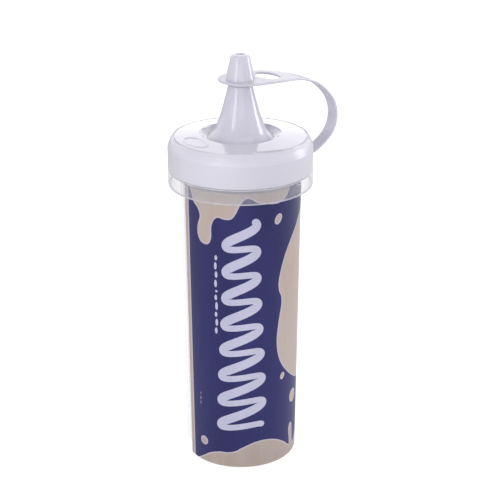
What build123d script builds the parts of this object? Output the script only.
"""Squeeze dispenser bottle: clear tube, film label, screw lid with nozzle, tethered tip cap.

Frame: +Z up along the bottle axis, origin at the centre of the flat base, front faces -Y.
All dimensions are in millimetres. Profiles and tables give (distance from the axis, height)
unless noted.
"""
from build123d import *
import math
import os

os.makedirs("parts", exist_ok=True)

# ------------------------------------------------------------------ dimensions
# bottle
BASE_R = 24.93            # outer radius at the base
BODY_R = 26.4             # outer radius under the flange
BODY_TOP = 134.2          # underside of the flange
WALL = 1.25
FLOOR = 1.8               # base thickness
FLOOR_R = 24.95           # outer radius level with the floor
FOOT_FILLET = 0.6
FLOOR_FILLET = 2.0
FLANGE_R = 31.5           # flange and hanging skirt
FLANGE_TOP = 135.6
SKIRT_BOTTOM = 129.0
SKIRT_INNER_R = FLANGE_R - 1.15
NECK_R = 27.4
NECK_BORE_R = BODY_R - WALL
NECK_BORE_BOTTOM = BODY_TOP - 1.0
NECK_TOP = 146.3
RIM_FILLET = 0.3

# lid
LID_R = FLANGE_R
LID_BORE_R = 29.3
LID_BOTTOM = FLANGE_TOP + 0.25
LID_SHOULDER = 145.9      # top of the straight skirt
LID_SHOULDER_MID = (LID_R - 0.75, LID_SHOULDER + 2.55)
LID_EDGE_R = 29.4         # crisp ring at the outside of the top
LID_EDGE_Z = 150.35
LID_CROWN = 0.12          # bulge of the top above a straight cone
LID_RIM_FILLET = 0.35
RECESS_R = 17.65          # dish round the nozzle
RECESS_EDGE_Z = 151.5
RECESS_LIP_DEPTH = 0.55   # steep lip at the rim of the dish
RECESS_LIP_INSET = 0.12
RECESS_FLOOR_R = 15.5     # foot of the dish's sloping wall
RECESS_FLOOR = 149.6
LID_CEILING = 148.0
PLUG_R = 24.85            # ring hanging from the ceiling into the neck
PLUG_INNER_R = 23.3
PLUG_BOTTOM = 143.8
PLUG_DRAFT = 0.2          # widening of the plug's inside towards its bottom
PLUG_LEAD_IN = (0.55, 1.2)  # width and height of the bevel at its outer bottom edge

# threads (single start, right hand), z at the rib centre where it starts
PITCH = 4.0
THREAD_HEIGHT = 1.25 * PITCH
NECK_THREAD_Z = 139.4
NECK_THREAD_R = 28.75     # crest of the rib outside the neck
LID_THREAD_Z = NECK_THREAD_Z - PITCH / 2
LID_THREAD_R = 27.85      # crest of the rib inside the lid
RIB_ROOT_HALF = 1.05      # half widths of the rib
RIB_CREST_HALF = 0.425
RIB_SINK = 0.3            # how far the rib's root is buried in its wall

# label
LABEL_T = 0.15
LABEL_BOTTOM = 0.9
LABEL_TOP = 132.4
LABEL_START = 206.0       # azimuth of the first edge, degrees
LABEL_ARC = 300.0

# sealing washer
SEAL_R = 28.6
SEAL_INNER_R = 25.35
SEAL_GAP = 0.05           # above the neck and below the lid's ceiling
SEAL_BOTTOM = NECK_TOP + SEAL_GAP
SEAL_TOP = LID_CEILING - SEAL_GAP
SEAL_FILLET = 0.25

# nozzle: outer outline up to the shoulder, then the slimmer tip inside the cap
NOZZLE = [
    (14.6, RECESS_FLOOR), (12.95, 151.0), (11.5, 152.6), (10.35, 154.9), (9.2, 157.9),
    (8.3, 160.6), (7.5, 163.4), (6.75, 166.2), (6.05, 168.8), (5.2, 172.55),
]
NOZZLE_TANGENTS = [(-1.0, 0.7), (-0.25, 1.0)]
SHOULDER_Z = NOZZLE[-1][1]
TIP_BASE_R = 4.25
TIP_TOP_R = 2.1
TIP_Z = 183.0
NOZZLE_BORE = [
    (12.6, LID_CEILING), (10.7, 151.4), (8.95, 154.6), (7.7, 157.9), (6.0, 163.4),
    (4.6, 168.8), (3.2, 172.0), (2.4, 176.0), (1.25, TIP_Z),
]

# tip cap
CAP_BOTTOM = SHOULDER_Z + 0.05
COLLAR_BOTTOM_R = 5.2
COLLAR_TOP_R = 5.45
COLLAR_TOP = 174.3
CONE_BASE_R = 6.3         # short upright band under the cone
CONE_BAND_BOTTOM = 174.6
CONE_BASE_Z = 175.15
CONE_TOP_R = 3.85
CAP_TOP = 185.5
CAP_TOP_FILLET = 0.7
SOCKET = [(4.29, CAP_BOTTOM), (4.22, 173.6), (4.12, 174.3), (2.75, 183.6)]
SOCKET_CUT_BOTTOM = CAP_BOTTOM - 1  # the cut starts clear below the cap
DIMPLE_R = 2.0
DIMPLE_DEPTH = 0.35
DIMPLE_TAPER = 30         # degrees

# finger ring seen from above, one side: (distance along the strap's azimuth, half width)
RING_OUTLINE = [
    (-9.3, 0), (-8.5, 4.3), (-6.1, 8.2), (-2.4, 10.8), (1.5, 11.6), (6.5, 11.6),
    (12.0, 11.2), (17.0, 10.2), (21.5, 8.6), (25.5, 6.8), (29.0, 5.2), (32.8, 3.8),
]
RING_TAIL_X = 36.0        # the outline runs on past the last hinge
RING_HOLE_X = 13.4
RING_HOLE_RADII = (5.0, 6.9)  # along and across the strap
RING_BLANK_HALF_W = 14    # half width of the plate before it is cut to outline
RING_CUT_BOTTOM = 160
RING_CUT_HEIGHT = 25

# tether strap: centre line in a vertical plane through the axis
STRAP_AZIMUTH = 30.0      # degrees
STRAP_T = 0.95
STRAP_HALF_W = 3.5
STRAP_LINE = [
    (30.6, 136.9), (33.6, 137.2), (38.0, 139.4), (42.4, 142.6), (45.2, 145.6),
    (46.9, 149.2), (47.5, 153.2), (47.0, 157.4), (45.3, 161.4), (42.4, 164.9),
    (38.7, 168.2), (33.6, 170.8), (28.0, 172.6), (21.5, 173.8), (14.9, 174.4),
    (8.0, 174.65), (0.0, 174.7), (-11.5, 174.7),
]
HINGE_STATIONS = (2, 5, 7, 9, 11)  # indices into STRAP_LINE
HINGE_GAP = 0.7


# ------------------------------------------------------------------ helpers
def radial_plane(azimuth, radius=0, z=0):
    """Vertical plane through the axis: x points outward at the azimuth (degrees), y up."""
    angle = math.radians(azimuth)
    cos, sin = math.cos(angle), math.sin(angle)
    return Plane(origin=(radius * cos, radius * sin, z), x_dir=(cos, sin, 0),
                 z_dir=(sin, -cos, 0))


def circles_at(builder, z):
    """Circular edges centred at height z."""
    return [e for e in builder.edges().filter_by(GeomType.CIRCLE)
            if abs(e.center().Z - z) < 0.01]


def body_radius(z):
    """Outer radius of the tapered tube at height z."""
    return BASE_R + (BODY_R - BASE_R) * z / BODY_TOP


def split_strap():
    """Cut the strap's centre line at the hinges, leaving a gap at each."""
    line = Edge.make_spline([Vector(x, z, 0) for x, z in STRAP_LINE])
    hinges = [line.param_at_point(Vector(*STRAP_LINE[i], 0)) for i in HINGE_STATIONS]
    half_gap = HINGE_GAP / 2 / line.length
    starts = [0.0] + [hinge + half_gap for hinge in hinges]
    ends = [hinge - half_gap for hinge in hinges] + [1.0]
    return [line.trim(start, end) for start, end in zip(starts, ends)]


STRAP_PLANE = radial_plane(STRAP_AZIMUTH)
# the root belongs to the lid and the end to the tip cap
STRAP_ROOT, *STRAP_LINKS, STRAP_END = split_strap()


# ------------------------------------------------------------------ pieces
def build_bottle():
    with BuildPart() as bottle:
        with BuildSketch(Plane.XZ):
            with BuildLine():
                Polyline((0, 0), (BASE_R, 0), (BODY_R, BODY_TOP),
                         (SKIRT_INNER_R, BODY_TOP), (SKIRT_INNER_R, SKIRT_BOTTOM),
                         (FLANGE_R, SKIRT_BOTTOM), (FLANGE_R, FLANGE_TOP),
                         (NECK_R, FLANGE_TOP), (NECK_R, NECK_TOP),
                         (NECK_BORE_R, NECK_TOP), (NECK_BORE_R, NECK_BORE_BOTTOM),
                         (FLOOR_R - WALL, FLOOR), (0, FLOOR), (0, 0))
            make_face()
        revolve(axis=Axis.Z)
        outer_foot = bottle.edges().filter_by(GeomType.CIRCLE).group_by(Axis.Z)[0]
        fillet(outer_foot, FOOT_FILLET)
        fillet(circles_at(bottle, FLOOR), FLOOR_FILLET)
        rims = [e for e in bottle.edges().filter_by(GeomType.CIRCLE)
                if (abs(e.radius - FLANGE_R) < 0.01
                    or abs(e.center().Z - SKIRT_BOTTOM) < 0.01
                    or abs(e.center().Z - NECK_TOP) < 0.01)]
        fillet(rims, RIM_FILLET)
        # thread rib outside the neck
        crest = NECK_THREAD_R - NECK_R
        with BuildLine() as helix:
            Helix(pitch=PITCH, height=THREAD_HEIGHT, radius=NECK_R,
                  center=(0, 0, NECK_THREAD_Z))
        with BuildSketch(radial_plane(0, NECK_R, NECK_THREAD_Z)):
            with BuildLine():
                Polyline((-RIB_SINK, -RIB_ROOT_HALF), (crest, -RIB_CREST_HALF),
                         (crest, RIB_CREST_HALF), (-RIB_SINK, RIB_ROOT_HALF),
                         (-RIB_SINK, -RIB_ROOT_HALF))
            make_face()
        sweep(path=helix.line, is_frenet=True)
    return bottle.part


def build_label():
    bottom_r, top_r = body_radius(LABEL_BOTTOM), body_radius(LABEL_TOP)
    with BuildPart() as label:
        with BuildSketch(radial_plane(LABEL_START)):
            with BuildLine():
                Polyline((bottom_r, LABEL_BOTTOM), (bottom_r + LABEL_T, LABEL_BOTTOM),
                         (top_r + LABEL_T, LABEL_TOP), (top_r, LABEL_TOP),
                         (bottom_r, LABEL_BOTTOM))
            make_face()
        revolve(axis=Axis.Z, revolution_arc=LABEL_ARC)
    return label.part


def build_lid_seal():
    with BuildPart() as lid_seal:
        with BuildSketch(Plane.XY.offset(SEAL_BOTTOM)):
            Circle(SEAL_R)
            Circle(SEAL_INNER_R, mode=Mode.SUBTRACT)
        extrude(amount=SEAL_TOP - SEAL_BOTTOM)
        fillet(lid_seal.edges(), SEAL_FILLET)
    return lid_seal.part


def build_lid():
    edge = (LID_EDGE_R, LID_EDGE_Z)
    recess_rim = (RECESS_R, RECESS_EDGE_Z)
    lead_in_w, lead_in_h = PLUG_LEAD_IN
    with BuildPart() as lid:
        with BuildSketch(Plane.XZ):
            with BuildLine():
                Polyline((LID_BORE_R, LID_BOTTOM), (LID_R, LID_BOTTOM), (LID_R, LID_SHOULDER))
                ThreePointArc((LID_R, LID_SHOULDER), LID_SHOULDER_MID, edge)
                ThreePointArc(edge,
                              ((LID_EDGE_R + RECESS_R) / 2,
                               (LID_EDGE_Z + RECESS_EDGE_Z) / 2 + LID_CROWN),
                              recess_rim)
                Polyline(recess_rim,
                         (RECESS_R - RECESS_LIP_INSET, RECESS_EDGE_Z - RECESS_LIP_DEPTH),
                         (RECESS_FLOOR_R, RECESS_FLOOR), NOZZLE[0])
                Spline(*NOZZLE, tangents=NOZZLE_TANGENTS)
                # tip, then down the bore and round the plug
                Polyline(NOZZLE[-1], (TIP_BASE_R, SHOULDER_Z), (TIP_TOP_R, TIP_Z),
                         *reversed(NOZZLE_BORE), (PLUG_INNER_R, LID_CEILING),
                         (PLUG_INNER_R + PLUG_DRAFT, PLUG_BOTTOM),
                         (PLUG_R - lead_in_w, PLUG_BOTTOM), (PLUG_R, PLUG_BOTTOM + lead_in_h),
                         (PLUG_R, LID_CEILING), (LID_BORE_R, LID_CEILING),
                         (LID_BORE_R, LID_BOTTOM))
            make_face()
        revolve(axis=Axis.Z)
        fillet(circles_at(lid, LID_BOTTOM), LID_RIM_FILLET)
        # thread rib inside the skirt
        crest = LID_THREAD_R - LID_BORE_R
        with BuildLine() as helix:
            Helix(pitch=PITCH, height=THREAD_HEIGHT, radius=LID_BORE_R,
                  center=(0, 0, LID_THREAD_Z))
        with BuildSketch(radial_plane(0, LID_BORE_R, LID_THREAD_Z)):
            with BuildLine():
                Polyline((RIB_SINK, -RIB_ROOT_HALF), (RIB_SINK, RIB_ROOT_HALF),
                         (crest, RIB_CREST_HALF), (crest, -RIB_CREST_HALF),
                         (RIB_SINK, -RIB_ROOT_HALF))
            make_face()
        sweep(path=helix.line, is_frenet=True)
        # root of the tether, moulded to the skirt's lower rim
        with BuildSketch(STRAP_PLANE):
            with BuildLine():
                add(STRAP_ROOT)
            trace(line_width=STRAP_T)
        extrude(amount=STRAP_HALF_W, both=True)
    return lid.part


def build_strap_link(centre_line):
    with BuildPart() as strap_link:
        with BuildSketch(STRAP_PLANE):
            with BuildLine():
                add(centre_line)
            trace(line_width=STRAP_T)
        extrude(amount=STRAP_HALF_W, both=True)
    return strap_link.part


def build_tip_cap():
    ring_end_x, ring_end_y = RING_OUTLINE[-1]
    with BuildPart() as tip_cap:
        # thin curved plate, cut to the finger-ring outline
        with BuildSketch(STRAP_PLANE):
            with BuildLine():
                add(STRAP_END)
            trace(line_width=STRAP_T)
        extrude(amount=RING_BLANK_HALF_W, both=True)
        with BuildSketch(Plane(origin=(0, 0, RING_CUT_BOTTOM), x_dir=STRAP_PLANE.x_dir,
                               z_dir=(0, 0, 1))):
            with BuildLine():
                Spline(*RING_OUTLINE, tangents=[(0, 1), (1, -0.12)])
                Polyline(RING_OUTLINE[-1], (RING_TAIL_X, STRAP_HALF_W),
                         (RING_TAIL_X, -STRAP_HALF_W), (ring_end_x, -ring_end_y))
                Spline(*[(x, -y) for x, y in reversed(RING_OUTLINE)],
                       tangents=[(-1, -0.12), (0, 1)])
            make_face()
            with Locations((RING_HOLE_X, 0)):
                Ellipse(*RING_HOLE_RADII, mode=Mode.SUBTRACT)
        extrude(amount=RING_CUT_HEIGHT, mode=Mode.INTERSECT)
        # cone and collar
        with BuildSketch(Plane.XZ):
            with BuildLine():
                Polyline((0, CAP_BOTTOM), (COLLAR_BOTTOM_R, CAP_BOTTOM),
                         (COLLAR_TOP_R, COLLAR_TOP), (CONE_BASE_R, CONE_BAND_BOTTOM),
                         (CONE_BASE_R, CONE_BASE_Z), (CONE_TOP_R, CAP_TOP),
                         (0, CAP_TOP), (0, CAP_BOTTOM))
            make_face()
        revolve(axis=Axis.Z)
        fillet(circles_at(tip_cap, CAP_TOP), CAP_TOP_FILLET)
        # shallow dimple in the top
        with BuildSketch(Plane.XY.offset(CAP_TOP)):
            Circle(DIMPLE_R)
        extrude(amount=-DIMPLE_DEPTH, taper=DIMPLE_TAPER, mode=Mode.SUBTRACT)
        # socket for the nozzle tip
        with BuildSketch(Plane.XZ):
            with BuildLine():
                Polyline((0, SOCKET_CUT_BOTTOM), (SOCKET[0][0], SOCKET_CUT_BOTTOM), *SOCKET,
                         (0, SOCKET[-1][1]), (0, SOCKET_CUT_BOTTOM))
            make_face()
        revolve(axis=Axis.Z, mode=Mode.SUBTRACT)
    return tip_cap.part


# ------------------------------------------------------------------ export
pieces = {
    "bottle": build_bottle(),
    "label": build_label(),
    "lid_seal": build_lid_seal(),
    "lid": build_lid(),
    "tip_cap": build_tip_cap(),
}
for number, link_line in enumerate(STRAP_LINKS, start=1):
    pieces[f"strap_link_{number}"] = build_strap_link(link_line)

for name, piece in pieces.items():
    piece.label = name
    export_step(piece, f"parts/{name}.step")
